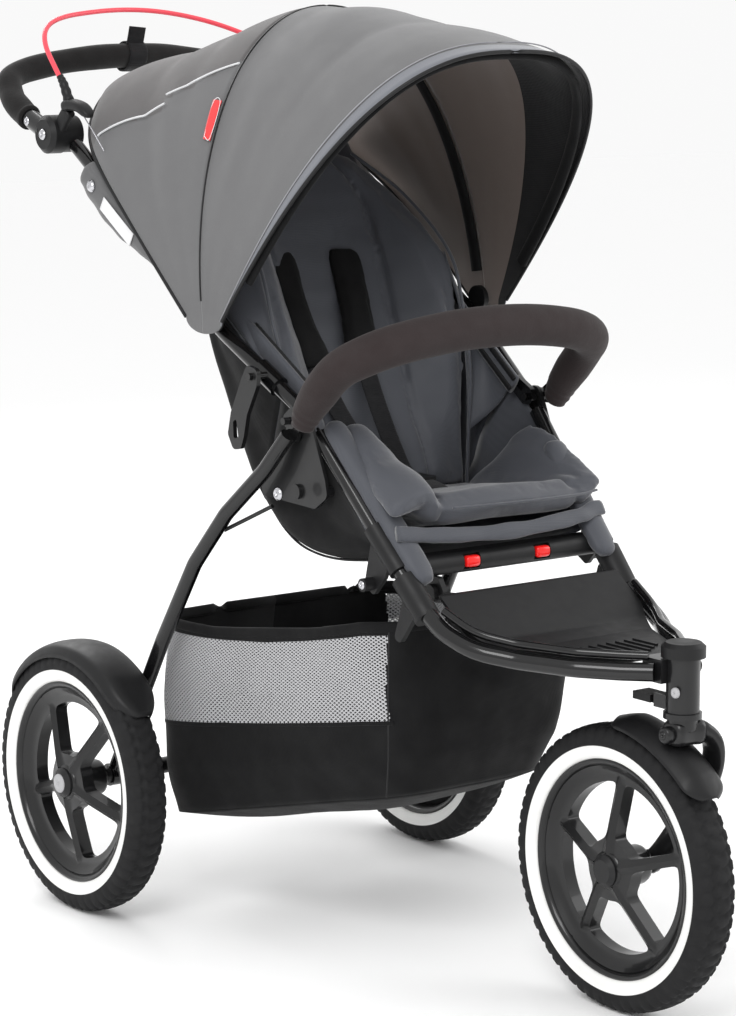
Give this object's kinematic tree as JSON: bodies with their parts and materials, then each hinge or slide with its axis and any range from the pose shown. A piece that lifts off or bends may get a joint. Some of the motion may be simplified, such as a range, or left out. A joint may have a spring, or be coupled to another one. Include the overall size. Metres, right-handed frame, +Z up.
{
  "type": "three-wheeled baby stroller",
  "caption": "Folding three-wheeled baby stroller with canopy, padded seat, bumper bar, basket and swivelling front wheel.",
  "frame": {"origin": "on the ground under the middle of the overall box", "axes": "+Z up, +Y towards the handle at the back, +X towards the child's left"},
  "size_m": [0.556, 1.0759, 1.0357],
  "materials": {
    "gloss_black_tube": "gloss black powder coat",
    "black_plastic": "moulded, fine texture",
    "satin_black_steel": "satin black",
    "rim_plastic": "satin moulded",
    "cap_plastic": "satin moulded",
    "tyre_rubber": "matte rubber with a white side ring",
    "foam": "matte closed-cell foam",
    "red_plastic": "gloss moulded",
    "red_sheath": "satin sheath",
    "seat_fabric": "woven polyester, slight sheen",
    "canopy_fabric": "woven polyester",
    "black_fabric": "woven polyester"
  },
  "bodies": {
    "chassis": {"front_tube_right": "gloss_black_tube", "front_tube_left": "gloss_black_tube", "lower_tube_right": "gloss_black_tube", "lower_tube_left": "gloss_black_tube", "knuckle_right": "black_plastic", "knuckle_left": "black_plastic", "roller_bracket_right": "black_plastic", "roller_bracket_left": "black_plastic", "side_plate_right": "satin_black_steel", "side_plate_left": "satin_black_steel", "front_crossbar": "black_plastic", "lock_bracket": "black_plastic", "footplate": "black_plastic", "foot_rails": "gloss_black_tube", "steering_head": "satin_black_steel", "steering_cap": "black_plastic", "seat_base": "seat_fabric", "seat_shell": "black_fabric", "harness_buckle": "black_plastic", "basket": "black_fabric"},
    "release_button_right": {"release_button_right": "red_plastic"},
    "release_button_left": {"release_button_left": "red_plastic"},
    "front_fork": {"front_fork": "satin_black_steel", "front_fender": "black_plastic"},
    "swivel_lock": {"swivel_lock_lever": "black_plastic"},
    "front_wheel": {"front_tyre": "tyre_rubber", "front_rim": "rim_plastic", "front_hub_cap": "cap_plastic"},
    "rear_frame": {"rear_leg_right": "gloss_black_tube", "rear_leg_left": "gloss_black_tube", "mudguard_right": "black_plastic", "mudguard_left": "black_plastic", "rear_axle": "satin_black_steel", "rear_links": "satin_black_steel"},
    "brake": {"brake_pedal": "black_plastic"},
    "rear_wheel_right": {"rear_tyre_right": "tyre_rubber", "rear_rim_right": "rim_plastic", "rear_hub_cap_right": "cap_plastic"},
    "rear_wheel_left": {"rear_tyre_left": "tyre_rubber", "rear_rim_left": "rim_plastic", "rear_hub_cap_left": "cap_plastic"},
    "handle_frame": {"upper_tube_right": "gloss_black_tube", "upper_tube_left": "gloss_black_tube", "handle_hub_right": "black_plastic", "handle_hub_left": "black_plastic", "canopy_hinges": "black_plastic", "canopy_rear": "canopy_fabric"},
    "storage_hook": {"storage_hook": "satin_black_steel"},
    "seat_back": {"seat_back": "seat_fabric"},
    "canopy_middle": {"canopy_middle_bow": "black_plastic"},
    "canopy_front": {"canopy_front_bow": "black_plastic", "canopy_front": "canopy_fabric"},
    "handlebar": {"handlebar_tube": "gloss_black_tube", "handlebar_grip": "foam", "handle_caps": "black_plastic", "cable_housing_right": "black_plastic", "cable_housing_left": "black_plastic", "fold_cable": "red_sheath"},
    "bumper": {"bumper_bar": "gloss_black_tube", "bumper_foam": "foam"}
  },
  "joints": [
    {"name": "fold", "type": "hinge", "parent": "chassis", "child": "handle_frame", "pos_m": [0, -0.06, 0.59], "axis": [1, 0, 0], "range_deg": [0, 98], "deforming": ["seat_shell", "basket"]},
    {"name": "rear_fold", "type": "hinge", "parent": "chassis", "child": "rear_frame", "pos_m": [0, -0.06, 0.59], "axis": [1, 0, 0], "range_deg": [-34.3, 0]},
    {"name": "bumper_fold", "type": "hinge", "parent": "chassis", "child": "bumper", "pos_m": [0, -0.06, 0.59], "axis": [1, 0, 0], "range_deg": [0, 49]},
    {"name": "handle_height", "type": "hinge", "parent": "handle_frame", "child": "handlebar", "pos_m": [0, 0.385, 0.874], "axis": [1, 0, 0], "range_deg": [-40, 30]},
    {"name": "canopy_fold", "type": "hinge", "parent": "handle_frame", "child": "canopy_middle", "pos_m": [0, 0.07, 0.688], "axis": [1, 0, 0], "range_deg": [-28, 0]},
    {"name": "canopy_front_fold", "type": "hinge", "parent": "canopy_middle", "child": "canopy_front", "pos_m": [0, 0.07, 0.688], "axis": [1, 0, 0], "range_deg": [-39.2, 0], "deforming": ["canopy_front", "canopy_rear"]},
    {"name": "recline", "type": "hinge", "parent": "handle_frame", "child": "seat_back", "pos_m": [0, 0.01, 0.507], "axis": [1, 0, 0], "range_deg": [-30, 0]},
    {"name": "fork_swivel", "type": "hinge", "parent": "chassis", "child": "front_fork", "pos_m": [0, -0.48, 0.34], "axis": [0, 0, 1], "continuous": true},
    {"name": "front_wheel_spin", "type": "hinge", "parent": "front_fork", "child": "front_wheel", "pos_m": [0, -0.395, 0.15], "axis": [1, 0, 0], "continuous": true},
    {"name": "rear_wheel_right_spin", "type": "hinge", "parent": "rear_frame", "child": "rear_wheel_right", "pos_m": [-0.248, 0.25, 0.15], "axis": [1, 0, 0], "continuous": true},
    {"name": "rear_wheel_left_spin", "type": "hinge", "parent": "rear_frame", "child": "rear_wheel_left", "pos_m": [0.248, 0.25, 0.15], "axis": [1, 0, 0], "continuous": true},
    {"name": "brake_press", "type": "hinge", "parent": "rear_frame", "child": "brake", "pos_m": [0, 0.25, 0.15], "axis": [1, 0, 0], "range_deg": [-20, 0]},
    {"name": "swivel_lock_lift", "type": "hinge", "parent": "chassis", "child": "swivel_lock", "pos_m": [0, -0.454, 0.337], "axis": [1, 0, 0], "range_deg": [0, 15]},
    {"name": "hook_swing", "type": "hinge", "parent": "handle_frame", "child": "storage_hook", "pos_m": [-0.188, -0.004, 0.632], "axis": [1, 0, 0], "range_deg": [-20, 25]},
    {"name": "button_right_press", "type": "slide", "parent": "chassis", "child": "release_button_right", "axis": [0, 1, 0], "range_m": [0, 0.003], "stiffness_N_per_m": 400},
    {"name": "button_left_press", "type": "slide", "parent": "chassis", "child": "release_button_left", "axis": [0, 1, 0], "range_m": [0, 0.003], "stiffness_N_per_m": 400}
  ],
  "couplings": [
    {"joint": "rear_fold", "follows": "fold", "ratio": -0.35},
    {"joint": "bumper_fold", "follows": "fold", "ratio": 0.5},
    {"joint": "canopy_front_fold", "follows": "canopy_fold", "ratio": 1.4}
  ]
}
